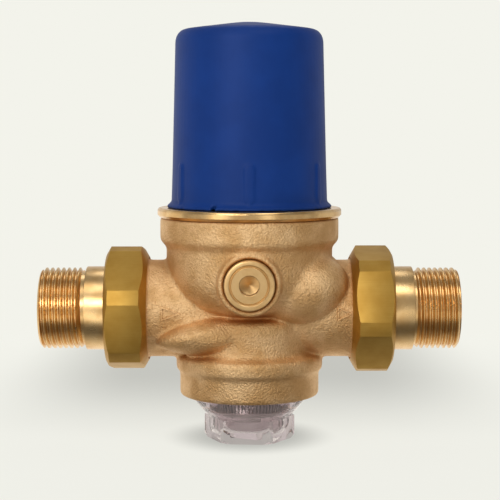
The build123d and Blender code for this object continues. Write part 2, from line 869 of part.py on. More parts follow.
def tailpiece():
    """Turned tail with a collar, a polished barrel and a pipe thread, on the Z axis."""
    _, start, collar_end = union_levels()
    barrel_end = collar_end + barrel_length
    relief_radius = pipe_thread_radius - thread_relief_depth
    relief_end = barrel_end + thread_relief
    tail_end = relief_end + pipe_thread_length
    return turned(
        (tail_bore, start, 0),
        (collar_radius, start, 0),
        (collar_radius, collar_end, 0),
        (barrel_radius, collar_end, 0),
        (barrel_radius, barrel_end, 0),
        (relief_radius, barrel_end, 0),
        (relief_radius, relief_end, 0),
        (pipe_thread_radius, relief_end + thread_relief_depth, 0),
        (pipe_thread_radius, tail_end - thread_chamfer, 0),
        (pipe_thread_radius - thread_chamfer, tail_end, 0),
        (tail_bore + thread_chamfer / 2, tail_end, 0),
        (tail_bore, tail_end - thread_chamfer / 2, 0),
    )


def union_nut(turn):
    """Union nut on the Z axis, with truncated corners and bevelled ends."""
    outer_face = nut_inner_face + nut_length
    shoulder = union_levels()[2]
    body = hexagon(nut_flats, nut_inner_face, outer_face, turn=turn)
    body &= hexagon(nut_corner_flats, nut_inner_face, outer_face, turn=turn + 30)
    slope = math.tan(math.radians(nut_chamfer_angle))
    reach = nut_corner_flats / 2 + overshoot
    inner_drop = nut_inner_chamfer / slope + overshoot
    outer_drop = nut_outer_chamfer / slope + overshoot
    limit = turned(
        (0, nut_inner_face, 0),
        (reach - inner_drop, nut_inner_face, 0),
        (reach, nut_inner_face + nut_inner_chamfer + overshoot * slope, 0),
        (reach, outer_face - nut_outer_chamfer - overshoot * slope, 0),
        (reach - outer_drop, outer_face, 0),
        (0, outer_face, 0),
    )
    thread_bore = rod(spigot_radius + thread_clearance, nut_inner_face - overshoot, shoulder)
    shoulder_hole = rod(barrel_radius + bearing_gap, shoulder - overshoot, outer_face + overshoot)
    return (body & limit) - thread_bore - shoulder_hole


def plug_levels():
    """Distances from the valve's axis: seal floor, head underside and head face."""
    floor = gauge_boss_face - gauge_recess_depth
    return floor, floor + gauge_seal, floor + gauge_seal + plug_head


def gauge_plug():
    """Turned plug with a stepped face and a drilled centre, on the Z axis."""
    _, underside, face = plug_levels()
    body = turned(
        (0, underside - plug_thread, 0),
        (gauge_thread_radius, underside - plug_thread, thread_chamfer / 2),
        (gauge_thread_radius, underside, 0),
        (plug_head_radius, underside, 0),
        (plug_head_radius, face, plug_groove_depth),
        (plug_disc_radius + plug_groove, face, 0),
        (plug_disc_radius + plug_groove, face - plug_groove_depth, 0),
        (plug_disc_radius, face - plug_groove_depth, 0),
        (plug_disc_radius, face, 0),
        (plug_hole_radius, face, 0),
        (plug_hole_radius, face - plug_hole_depth, 0),
        (0, face - plug_hole_depth - plug_hole_radius / 2, 0),
    )
    return body


def gauge_plug_seal():
    """Flat ring under the plug's head, on the Z axis."""
    floor, underside, _ = plug_levels()
    return tube(plug_head_radius - part_gap, gauge_thread_radius + thread_clearance, floor, underside)


def parts():
    """Every piece in its place, by name."""
    return {
        "valve_body": valve_body(),
        "bonnet": bonnet(),
        "adjusting_cap": adjusting_cap(),
        "adjusting_spindle": adjusting_spindle(),
        "thrust_washer": thrust_washer(),
        "spindle_clip": spindle_clip(),
        "spring_nut_plate": spring_nut_plate(),
        "set_spring": set_spring(),
        "spring_seat_plate": spring_seat_plate(),
        "slip_ring": slip_ring(),
        "diaphragm": diaphragm(),
        "diaphragm_support_plate": diaphragm_support_plate(),
        "valve_stem": valve_stem(),
        "stem_nut": stem_nut(),
        "poppet": poppet(),
        "valve_seal": valve_seal(),
        "poppet_nut": poppet_nut(),
        "seat_insert": seat_insert(),
        "seat_o_ring": seat_o_ring(),
        "strainer": strainer(),
        "clear_bowl": clear_bowl(),
        "bowl_o_ring": bowl_o_ring(),
        "inlet_tailpiece": inlet_plane() * tailpiece(),
        "outlet_tailpiece": outlet_plane() * tailpiece(),
        "inlet_union_nut": inlet_plane() * union_nut(inlet_nut_turn),
        "outlet_union_nut": outlet_plane() * union_nut(outlet_nut_turn),
        "inlet_gasket": inlet_plane() * gasket(),
        "outlet_gasket": outlet_plane() * gasket(),
        "gauge_plug": gauge_plane() * gauge_plug(),
        "gauge_plug_seal": gauge_plane() * gauge_plug_seal(),
    }


os.makedirs("parts", exist_ok=True)
for name, part in parts().items():
    export_step(part, f"parts/{name}.step")
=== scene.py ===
"""Looks of the pressure reducing valve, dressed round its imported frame. Lengths are in metres."""
import logging
import math
from dataclasses import dataclass, field
from enum import Enum
from typing import Callable, Iterable, Optional, Sequence, Union

import bpy
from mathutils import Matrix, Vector


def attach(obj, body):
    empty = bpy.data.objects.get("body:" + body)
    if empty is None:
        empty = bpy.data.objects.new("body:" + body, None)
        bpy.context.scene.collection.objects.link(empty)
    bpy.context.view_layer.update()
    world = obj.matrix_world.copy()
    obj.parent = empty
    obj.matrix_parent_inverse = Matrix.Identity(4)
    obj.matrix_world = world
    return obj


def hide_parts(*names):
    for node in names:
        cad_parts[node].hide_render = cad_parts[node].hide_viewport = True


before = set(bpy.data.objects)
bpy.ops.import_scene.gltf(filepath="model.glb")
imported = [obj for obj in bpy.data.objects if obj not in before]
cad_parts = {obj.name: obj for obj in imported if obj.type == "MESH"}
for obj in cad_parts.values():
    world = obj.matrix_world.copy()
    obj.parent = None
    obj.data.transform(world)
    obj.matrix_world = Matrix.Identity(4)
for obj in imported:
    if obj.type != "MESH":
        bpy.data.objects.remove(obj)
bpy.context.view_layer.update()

Colour = tuple[float, float, float]
Point = tuple[float, float, float]
Span = tuple[float, float]
Number = Union[float, "Value"]
Socket = bpy.types.NodeSocket
Piece = bpy.types.Object

MM = 0.001
PORT_HEIGHT = 40.8 * MM
GAUGE_HEIGHT = 51.2 * MM

# The foot is drawn down below this level, to where it stands in the photograph
FOOT_LEVEL = 20.5 * MM
FOOT_STRETCH = 1.09
FLOOR_LEVEL = FOOT_LEVEL * (1 - FOOT_STRETCH)

# Points closer than this are merged
MERGE_GAP = 0.001 * MM
FINE_MERGE_GAP = 0.0005 * MM
LOOP_MERGE_GAP = 0.0001 * MM

logging.basicConfig(level=logging.INFO, format="%(message)s")
log = logging.getLogger("valve")


class Body(Enum):
    """The moving bodies that the pieces ride on."""

    CASTING = "body"
    CAP = "cap"
    BOWL = "bowl"
    INLET_TAIL = "inlet_tail"
    INLET_NUT = "inlet_nut"
    OUTLET_TAIL = "outlet_tail"
    OUTLET_NUT = "outlet_nut"
    PLUG = "plug"


class Slot(Enum):
    """Names of the record's material slots; no piece takes its finish from them."""

    CAST = "cast_gunmetal"
    TURNED = "turned_brass"
    NUT = "nut_brass"
    BLUE = "blue_plastic"
    CLEAR = "clear_plastic"


class Axis(Enum):
    """The axis that a piece was turned about, by its place among the coordinates."""

    X = 0
    Y = 1
    Z = 2


class Side(Enum):
    """The two ends of the valve, by the sign of their direction along X."""

    INLET = -1
    OUTLET = 1


class Operation(Enum):
    """What a boolean tool does to a piece."""

    CUT = "DIFFERENCE"
    ADD = "UNION"
    KEEP = "INTERSECT"


def linear(red: int, green: int, blue: int) -> Colour:
    """Turn a colour as seen on a screen into the linear one that shaders use.

    Args:
        red: Red, 0 to 255.
        green: Green, 0 to 255.
        blue: Blue, 0 to 255.

    Returns:
        The same colour as linear numbers from 0 to 1.
    """
    def channel(level: int) -> float:
        """Give one channel's linear share by the usual screen curve."""
        share = level / 255
        return share / 12.92 if share <= 0.04045 else ((share + 0.055) / 1.055) ** 2.4

    return channel(red), channel(green), channel(blue)


class Value:
    """A number that a shader works out, with Python's operators on it."""

    def __init__(self, bench: "ShaderBench", socket: Socket) -> None:
        """Wrap a socket of a bench's node tree.

        Args:
            bench: The bench that further nodes are added on.
            socket: The socket that gives the number.
        """
        self.bench = bench
        self.socket = socket

    def _join(self, operation: str, first: Number, second: Optional[Number] = None) -> "Value":
        """Add one Math node.

        Args:
            operation: What it works out.
            first: Its first number.
            second: Its second number, if it takes two.

        Returns:
            The node's result.
        """
        inputs = {0: first} if second is None else {0: first, 1: second}
        made = self.bench.node("ShaderNodeMath", {"operation": operation}, inputs)
        return Value(self.bench, made.outputs[0])

    def __add__(self, other: Number) -> "Value":
        """Add."""
        return self._join("ADD", self, other)

    def __radd__(self, other: Number) -> "Value":
        """Add, with the number on the left."""
        return self._join("ADD", other, self)

    def __sub__(self, other: Number) -> "Value":
        """Subtract."""
        return self._join("SUBTRACT", self, other)

    def __rsub__(self, other: Number) -> "Value":
        """Subtract from the number on the left."""
        return self._join("SUBTRACT", other, self)

    def __mul__(self, other: Number) -> "Value":
        """Multiply."""
        return self._join("MULTIPLY", self, other)

    def __rmul__(self, other: Number) -> "Value":
        """Multiply, with the number on the left."""
        return self._join("MULTIPLY", other, self)

    def __truediv__(self, other: Number) -> "Value":
        """Divide."""
        return self._join("DIVIDE", self, other)

    def root(self) -> "Value":
        """Give the square root."""
        return self._join("SQRT", self)

    def between(self, low: float, high: float) -> "Value":
        """Run smoothly from 0 at low to 1 at high.

        Args:
            low: The value at which the result is 0.
            high: The value at which the result is 1.

        Returns:
            The smoothed share.
        """
        made = self.bench.node(
            "ShaderNodeMapRange", {"interpolation_type": "SMOOTHSTEP"},
            {0: self, 1: low, 2: high, 3: 0.0, 4: 1.0},
        )
        return Value(self.bench, made.outputs[0])


class ShaderBench:
    """The node tree of one material or world, and the tools that fill it."""

    def __init__(self, tree: bpy.types.NodeTree) -> None:
        """Start from an empty tree."""
        self.tree = tree
        tree.nodes.clear()

    def node(self, kind: str, settings: dict, inputs: dict) -> bpy.types.Node:
        """Add a node, set it up and fill its sockets.

        Args:
            kind: The node's type.
            settings: Its settings, by name.
            inputs: Its sockets by name or number, each a value, a colour, a socket or a Value.

        Returns:
            The node.
        """
        made = self.tree.nodes.new(kind)
        for name, setting in settings.items():
            setattr(made, name, setting)
        for name, given in inputs.items():
            socket = made.inputs[name]
            source = given.socket if isinstance(given, Value) else given
            if isinstance(source, Socket):
                self.tree.links.new(source, socket)
            elif isinstance(source, tuple) and len(source) == 3 and socket.type == "RGBA":
                socket.default_value = (*source, 1.0)
            else:
                socket.default_value = source
        return made

    def place(self, stretch: Point = (1, 1, 1)) -> Socket:
        """Give the place on the piece.

        Args:
            stretch: How much each axis is squeezed.

        Returns:
            The squeezed place.
        """
        spot = self.node("ShaderNodeTexCoord", {}, {}).outputs["Object"]
        return self.node("ShaderNodeMapping", {}, {"Vector": spot, "Scale": stretch}).outputs[0]

    def coordinates(self) -> tuple[Value, Value, Value]:
        """Split the place on the piece.

        Returns:
            Its x, y and z.
        """
        spot = self.node("ShaderNodeTexCoord", {}, {}).outputs["Object"]
        parts = self.node("ShaderNodeSeparateXYZ", {}, {0: spot}).outputs
        return Value(self, parts[0]), Value(self, parts[1]), Value(self, parts[2])

    def noise(
        self, grain: float, detail: float = 2.0, rough: float = 0.5, stretch: Point = (1, 1, 1)
    ) -> Value:
        """Make a cloudy pattern.

        Args:
            grain: Size of one cloud, in metres.
            detail: How many finer layers it has.
            rough: How strong the finer layers are.
            stretch: How much each axis is squeezed.

        Returns:
            The pattern, from 0 to 1.
        """
        made = self.node("ShaderNodeTexNoise", {}, {
            "Vector": self.place(stretch), "Scale": 1 / grain, "Detail": detail, "Roughness": rough,
        })
        return Value(self, made.outputs["Fac"])

    def pits(self, grain: float, softness: float = 0.6) -> Value:
        """Scatter pits, about one to each grain.

        Args:
            grain: The distance between pits, in metres.
            softness: How far the pits run into one another.

        Returns:
            The distance to the nearest pit.
        """
        made = self.node("ShaderNodeTexVoronoi", {"feature": "SMOOTH_F1"}, {
            "Vector": self.place(), "Scale": 1 / grain, "Smoothness": softness,
        })
        return Value(self, made.outputs["Distance"])

    def mix(self, share: Number, first: object, second: object) -> Socket:
        """Blend two colours.

        Args:
            share: The share of the second.
            first: A colour or a socket.
            second: A colour or a socket.

        Returns:
            The blend.
        """
        made = self.node("ShaderNodeMix", {"data_type": "RGBA"}, {0: share, 6: first, 7: second})
        return made.outputs[2]

    def dimmed(self, colour: Colour, share: Number) -> Socket:
        """Give a colour at a share of its brightness.

        Args:
            colour: The colour.
            share: The share, which may pass 1.

        Returns:
            The dimmed colour.
        """
        made = self.node("ShaderNodeVectorMath", {"operation": "SCALE"}, {0: colour, "Scale": share})
        return made.outputs[0]

    def bump(self, height: Value, depth: float, below: Optional[Socket] = None) -> Socket:
        """Lay a relief on a surface.

        Args:
            height: The relief, from 0 to 1.
            depth: How far it stands out, in metres.
            below: The normal that it lies on, if any.

        Returns:
            The normal of the surface with its relief.
        """
        inputs = {"Height": height, "Distance": depth, "Strength": 1.0}
        if below is not None:
            inputs["Normal"] = below
        return self.node("ShaderNodeBump", {}, inputs).outputs[0]

    def choice(self, share: Number, first: bpy.types.Node, second: bpy.types.Node) -> bpy.types.Node:
        """Mix two shaders.

        Args:
            share: The share of the second.
            first: The first shader's node.
            second: The second shader's node.

        Returns:
            The node of the mix.
        """
        inputs = {0: share, 1: first.outputs[0], 2: second.outputs[0]}
        return self.node("ShaderNodeMixShader", {}, inputs)

    def surface(self, shader: bpy.types.Node, kind: str = "ShaderNodeOutputMaterial") -> None:
        """Send a shader to the output."""
        self.node(kind, {}, {"Surface": shader.outputs[0]})


def material_bench(name: str) -> tuple[bpy.types.Material, ShaderBench]:
    """Start a node material.

    Args:
        name: Its name.

    Returns:
        The material and its bench.
    """
    made = bpy.data.materials.new(name)
    made.use_nodes = True
    return made, ShaderBench(made.node_tree)


@dataclass(frozen=True)
class CastFinish:
    """Shot-blasted bronze casting: bright grain, and painted shade, darker orange, in the creases and
    hollows.
    """

    name: str = "cast_bronze"
    light: Colour = linear(241, 206, 157)
    dark: Colour = linear(216, 176, 123)
    # Dark orange for the grain's speckle and for the painted shade in the creases, whose reach, span and
    # share follow
    speckle_and_crease_shade: Colour = linear(184, 124, 64)
    crease_shade_reach: float = 5.0 * MM
    crease_shade_span: Span = (0.25, 0.92)
    crease_shade_share: float = 0.75
    rays: int = 8
    blotch: float = 9.0 * MM
    blotch_span: Span = (0.35, 0.65)
    grain: float = 0.5 * MM
    grain_depth: float = 0.32 * MM
    grain_span: Span = (0.40, 0.75)
    grain_share: float = 0.35
    dent: float = 2.2 * MM
    dent_depth: float = 0.16 * MM
    pit: float = 0.8 * MM
    pit_share: float = 0.5
    roughness: float = 0.52
    roughness_spread: float = 0.12

    def material(self) -> bpy.types.Material:
        """Build the material.

        Returns:
            The material.
        """
        made, bench = material_bench(self.name)
        blotches = bench.noise(self.blotch, 3)
        speckle = bench.noise(self.grain, 3, 0.6)
        # Ambient occlusion finds the creases and hollows, where shade is painted into the colour
        sky = bench.node(
            "ShaderNodeAmbientOcclusion", {"samples": self.rays}, {"Distance": self.crease_shade_reach}
        )
        painted_crease_shade = 1 - Value(bench, sky.outputs["AO"]).between(*self.crease_shade_span)
        skin = bench.mix(blotches.between(*self.blotch_span), self.light, self.dark)
        skin = bench.mix(speckle.between(*self.grain_span) * self.grain_share, skin, self.speckle_and_crease_shade)
        # Painted shade: the creases and hollows darken towards the dark orange
        skin = bench.mix(painted_crease_shade * self.crease_shade_share, skin, self.speckle_and_crease_shade)
        dents = bench.bump(bench.noise(self.dent, 2), self.dent_depth)
        relief = speckle + self.pit_share * bench.pits(self.pit)
        bench.surface(bench.node("ShaderNodeBsdfPrincipled", {}, {
            "Base Color": skin,
            "Metallic": 1.0,
            "Roughness": self.roughness + self.roughness_spread * blotches,
            "Normal": bench.bump(relief, self.grain_depth, dents),
        }))
        return made


@dataclass(frozen=True)
class TurnedFinish:
    """Turned metal: fine rings about the axis that it was turned on, and slight clouding."""

    name: str
    colour: Colour
    tint: Colour
    axis: Axis
    roughness: float = 0.16
    face_rings: bool = False
    centre: Point = (0.0, 0.0, 0.0)
    ring: float = 0.12 * MM
    ring_depth: float = 0.010 * MM
    cloud: float = 4.0 * MM
    cloud_span: Span = (0.35, 0.70)
    cloud_share: float = 0.6
    cloud_roughness: float = 0.10
    scuff: float = 1.1 * MM
    scuff_roughness: float = 0.06

    def material(self) -> bpy.types.Material:
        """Build the material.

        Returns:
            The material.
        """
        made, bench = material_bench(self.name)
        spot = bench.coordinates()
        reach = spot[self.axis.value]
        if self.face_rings:
            across = [axis.value for axis in Axis if axis is not self.axis]
            first, second = [spot[index] - self.centre[index] for index in across]
            reach = (first * first + second * second).root()
        lines = bench.node("ShaderNodeTexNoise", {"noise_dimensions": "1D"}, {
            "W": reach, "Scale": 1 / self.ring, "Detail": 2.0, "Roughness": 0.6,
        })
        rings = Value(bench, lines.outputs["Fac"])
        clouds = bench.noise(self.cloud, 3)
        scuffs = bench.noise(self.scuff, 4, 0.7)
        bench.surface(bench.node("ShaderNodeBsdfPrincipled", {}, {
            "Base Color": bench.mix(
                clouds.between(*self.cloud_span) * self.cloud_share, self.colour, self.tint
            ),
            "Metallic": 1.0,
            "Roughness": self.roughness + self.cloud_roughness * clouds + self.scuff_roughness * scuffs,
            "Normal": bench.bump(rings, self.ring_depth),
        }))
        return made


@dataclass(frozen=True)
class DrawnFinish:
    """Extruded bar with fine lines along X, for the union nuts."""

    name: str = "nut_brass"
    colour: Colour = linear(190, 152, 76)
    tint: Colour = linear(166, 124, 50)
    roughness: float = 0.42
    line: float = 0.16 * MM
    line_stretch: Point = (0.02, 1, 1)
    line_depth: float = 0.005 * MM
    line_span: Span = (0.35, 0.75)
    line_share: float = 0.25
    cloud: float = 6.0 * MM
    cloud_span: Span = (0.30, 0.75)
    cloud_share: float = 0.5
    cloud_roughness: float = 0.10

    def material(self) -> bpy.types.Material:
        """Build the material.

        Returns:
            The material.
        """
        made, bench = material_bench(self.name)
        lines = bench.noise(self.line, 3, 0.6, stretch=self.line_stretch)
        clouds = bench.noise(self.cloud, 3)
        base = bench.mix(clouds.between(*self.cloud_span) * self.cloud_share, self.colour, self.tint)
        base = bench.mix(lines.between(*self.line_span) * self.line_share, base, self.tint)
        bench.surface(bench.node("ShaderNodeBsdfPrincipled", {}, {
            "Base Color": base,
            "Metallic": 1.0,
            "Roughness": self.roughness + self.cloud_roughness * clouds,
            "Normal": bench.bump(lines, self.line_depth),
        }))
        return made


@dataclass(frozen=True)
class MouldedFinish:
    """Moulded plastic or rubber with a fine eroded grain and faint wear."""

    name: str
    colour: Colour
    tint: Colour
    roughness: float = 0.38
    gloss: float = 0.5
    grain: float = 0.25 * MM
    grain_depth: float = 0.008 * MM
    grain_roughness: float = 0.05
    cloud: float = 14.0 * MM
    cloud_span: Span = (0.30, 0.70)
    cloud_roughness: float = 0.08

    def material(self) -> bpy.types.Material:
        """Build the material.

        Returns:
            The material.
        """
        made, bench = material_bench(self.name)
        clouds = bench.noise(self.cloud, 3)
        grain = bench.noise(self.grain, 3, 0.65)
        bench.surface(bench.node("ShaderNodeBsdfPrincipled", {}, {
            "Base Color": bench.mix(clouds.between(*self.cloud_span), self.colour, self.tint),
            "Roughness": self.roughness + self.cloud_roughness * clouds + self.grain_roughness * grain,
            "Specular IOR Level": self.gloss,
            "Normal": bench.bump(grain, self.grain_depth),
        }))
        return made


@dataclass(frozen=True)
class ClearFinish:
    """Clear moulded plastic with a faint lilac tint, flow clouding and fine scratches."""

    name: str = "clear_bowl_plastic"
    colour: Colour = linear(226, 212, 214)
    tint: Colour = linear(212, 197, 200)
    clarity: float = 0.9
    refraction: float = 1.42
    cloud: float = 6.0 * MM
    scratch: float = 0.5 * MM
    scratch_stretch: Point = (1, 1, 0.15)
    scratch_depth: float = 0.004 * MM
    roughness: float = 0.02
    scratch_roughness: float = 0.05

    def material(self) -> bpy.types.Material:
        """Build the material.

        Returns:
            The material.
        """
        made, bench = material_bench(self.name)
        clouds = bench.noise(self.cloud, 2)
        scratches = bench.noise(self.scratch, 3, 0.6, stretch=self.scratch_stretch)
        bench.surface(bench.node("ShaderNodeBsdfPrincipled", {}, {
            "Base Color": bench.mix(clouds, self.colour, self.tint),
            "Transmission Weight": self.clarity,
            "IOR": self.refraction,
            "Roughness": self.roughness + self.scratch_roughness * scratches,
            "Normal": bench.bump(scratches, self.scratch_depth),
        }))
        return made


def rest() -> None:
    """Leave edit mode and deselect everything."""
    if bpy.context.object is not None and bpy.context.object.mode != "OBJECT":
        bpy.ops.object.mode_set(mode="OBJECT")
    bpy.ops.object.select_all(action="DESELECT")


def choose(piece: Piece, others: Iterable[Piece] = ()) -> Piece:
    """Select a piece, alone or with others, and make it the active one.

    Args:
        piece: The piece.
        others: Pieces to select with it.

    Returns:
        The piece.
    """
    rest()
    for chosen in (piece, *others):
        chosen.select_set(True)
    bpy.context.view_layer.objects.active = piece
    return piece


def settle(piece: Piece) -> Piece:
    """Bring a piece's place into its mesh, so that it stands at the origin unturned.

    Args:
        piece: The piece.

    Returns:
        The piece.
    """
    choose(piece)
    bpy.ops.object.transform_apply(location=True, rotation=True, scale=True)
    return piece


def clean(piece: Piece, gap: float = MERGE_GAP) -> Piece:
    """Merge doubled points and turn every normal outwards.

    Args:
        piece: The piece.
        gap: How close doubled points lie.

    Returns:
        The piece.
    """
    choose(piece)
    bpy.ops.object.mode_set(mode="EDIT")
    bpy.ops.mesh.select_all(action="SELECT")
    bpy.ops.mesh.remove_doubles(threshold=gap)
    bpy.ops.mesh.normals_make_consistent(inside=False)
    rest()
    return piece


def smooth(piece: Piece, degrees: float) -> Piece:
    """Shade a piece smooth, with sharper edges left crisp.

    Args:
        piece: The piece.
        degrees: The angle past which an edge stays crisp.

    Returns:
        The piece.
    """
    choose(piece)
    bpy.ops.object.shade_smooth_by_angle(angle=math.radians(degrees))
    return piece


def modify(piece: Piece, kind: str, **settings: object) -> Piece:
    """Put one modifier on a piece and apply it.

    Args:
        piece: The piece.
        kind: The modifier's type.
        **settings: The modifier's settings.

    Returns:
        The piece.
    """
    choose(piece)
    made = piece.modifiers.new(kind.lower(), kind)
    for name, setting in settings.items():
        setattr(made, name, setting)
    bpy.ops.object.modifier_apply(modifier=made.name)
    return piece


def combine(piece: Piece, tool: Piece, operation: Operation) -> Piece:
    """Work on a piece with a tool, which is then thrown away.

    Args:
        piece: The piece.
        tool: The tool.
        operation: What the tool does.

    Returns:
        The piece.
    """
    modify(piece, "BOOLEAN", operation=operation.value, solver="EXACT", object=tool)
    bpy.data.objects.remove(tool, do_unlink=True)
    return piece


def copy_of(node: str, name: str) -> Piece:
    """Copy a CAD node and merge the copy's points.

    Args:
        node: The CAD node's name.
        name: The copy's name.

    Returns:
        The copy, with no material.
    """
    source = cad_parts[node]
    made = bpy.data.objects.new(name, source.data.copy())
    bpy.context.scene.collection.objects.link(made)
    made.data.materials.clear()
    made.matrix_world = source.matrix_world.copy()
    return clean(settle(made))


def recast(piece: Piece, voxel: float, rounds: int, most: int) -> Piece:
    """Make one even skin of a piece, soften it, and thin it to a number of triangles.

    Args:
        piece: The piece.
        voxel: The size of one face of the skin.
        rounds: How often it is softened.
        most: The number of triangles that it may keep.

    Returns:
        The piece.
    """
    modify(piece, "REMESH", mode="VOXEL", voxel_size=voxel, adaptivity=0.0)
    modify(piece, "SMOOTH", factor=0.5, iterations=rounds)
    triangles = sum(len(face.vertices) - 2 for face in piece.data.polygons)
    if triangles > most:
        modify(piece, "DECIMATE", decimate_type="COLLAPSE", ratio=most / triangles)
    return clean(piece)


def trace(outline: Sequence[tuple[float, float]]) -> Piece:
    """Extrude one point along an outline in the XZ plane, and stay in edit mode with all of it selected.

    Args:
        outline: The corners, each a distance along X and a radius.

    Returns:
        The piece, of edges alone.
    """
    rest()
    along, radius = outline[0]
    bpy.ops.mesh.primitive_plane_add(size=MM, location=(0, 0, 0), enter_editmode=True)
    bpy.ops.mesh.select_mode(type="VERT")
    bpy.ops.mesh.merge(type="CENTER")
    bpy.ops.transform.translate(value=(along, 0, radius))
    for next_along, next_radius in outline[1:]:
        step = (next_along - along, 0, next_radius - radius)
        bpy.ops.mesh.extrude_region_move(TRANSFORM_OT_translate={"value": step})
        along, radius = next_along, next_radius
    bpy.ops.mesh.select_all(action="SELECT")
    return bpy.context.object


def select_where(piece: Piece, test: Callable[[float], bool]) -> None:
    """Enter edit mode with only those points selected whose height passes a test.

    Args:
        piece: The piece.
        test: Says whether a height passes.
    """
    choose(piece)
    bpy.ops.object.mode_set(mode="EDIT")
    bpy.ops.mesh.select_mode(type="VERT")
    bpy.ops.mesh.select_all(action="DESELECT")
    bpy.ops.object.mode_set(mode="OBJECT")
    for vertex in piece.data.vertices:
        vertex.select = test(vertex.co.z)
    bpy.ops.object.mode_set(mode="EDIT")


def stretch_where(piece: Piece, test: Callable[[float], bool], level: float, factor: float) -> Piece:
    """Stretch those points of a piece whose height passes a test.

    Args:
        piece: The piece.
        test: Says whether a height passes.
        level: The height that the stretch starts from.
        factor: How much the heights grow, counted from the level.

    Returns:
        The piece.
    """
    select_where(piece, test)
    bpy.ops.transform.resize(value=(1, 1, factor), center_override=(0, 0, level))
    rest()
    return piece


def draw_foot_down(piece: Piece) -> Piece:
    """Stretch what lies below the foot's level down to the floor."""
    return stretch_where(piece, lambda height: height < FOOT_LEVEL, FOOT_LEVEL, FOOT_STRETCH)


def lathe(name: str, outline: Sequence[tuple[float, float]], steps: int = 144) -> Piece:
    """Turn a closed outline about the X axis.

    Args:
        name: Name of the piece.
        outline: The corners, each a distance along X and a radius.
        steps: Number of segments round the axis.

    Returns:
        The turned piece, on the X axis.
    """
    piece = trace([*outline, outline[0]])
    piece.name = name
    bpy.ops.mesh.remove_doubles(threshold=LOOP_MERGE_GAP)
    bpy.ops.mesh.select_all(action="SELECT")
    bpy.ops.mesh.spin(steps=steps, angle=math.tau, center=(0, 0, 0), axis=(1, 0, 0))
    rest()
    return clean(piece, FINE_MERGE_GAP)


def turn_piece(piece: Piece, degrees: float, axis: Axis = Axis.Z) -> Piece:
    """Turn a piece about an axis through the origin.

    Args:
        piece: The piece.
        degrees: The angle, anticlockwise as seen against the axis.
        axis: The axis.

    Returns:
        The piece.
    """
    choose(piece)
    bpy.ops.transform.rotate(value=-math.radians(degrees), orient_axis=axis.name, center_override=(0, 0, 0))
    return settle(piece)


def shift(piece: Piece, place: Point) -> Piece:
    """Move a piece that stands at the origin.

    Args:
        piece: The piece.
        place: Where the piece's origin goes.

    Returns:
        The piece, with its place in its mesh.
    """
    piece.location = place
    return settle(piece)


def dress(piece: Piece, material: bpy.types.Material) -> Piece:
    """Give a piece one material.

    Args:
        piece: The piece.
        material: The material.

    Returns:
        The piece.
    """
    piece.data.materials.clear()
    piece.data.materials.append(material)
    return piece


def enrol(piece: Piece, body: Body, node: str) -> Piece:
    """Let a piece ride on a body, and stand for a CAD node.

    Args:
        piece: The piece.
        body: The body that it rides on.
        node: The CAD node that it takes the place of.

    Returns:
        The piece.
    """
    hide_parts(node)
    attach(piece, body.value)
    faces = len(piece.data.polygons)
    log.info("%s: %d faces, on %s in the place of %s", piece.name, faces, body.value, node)
    return piece


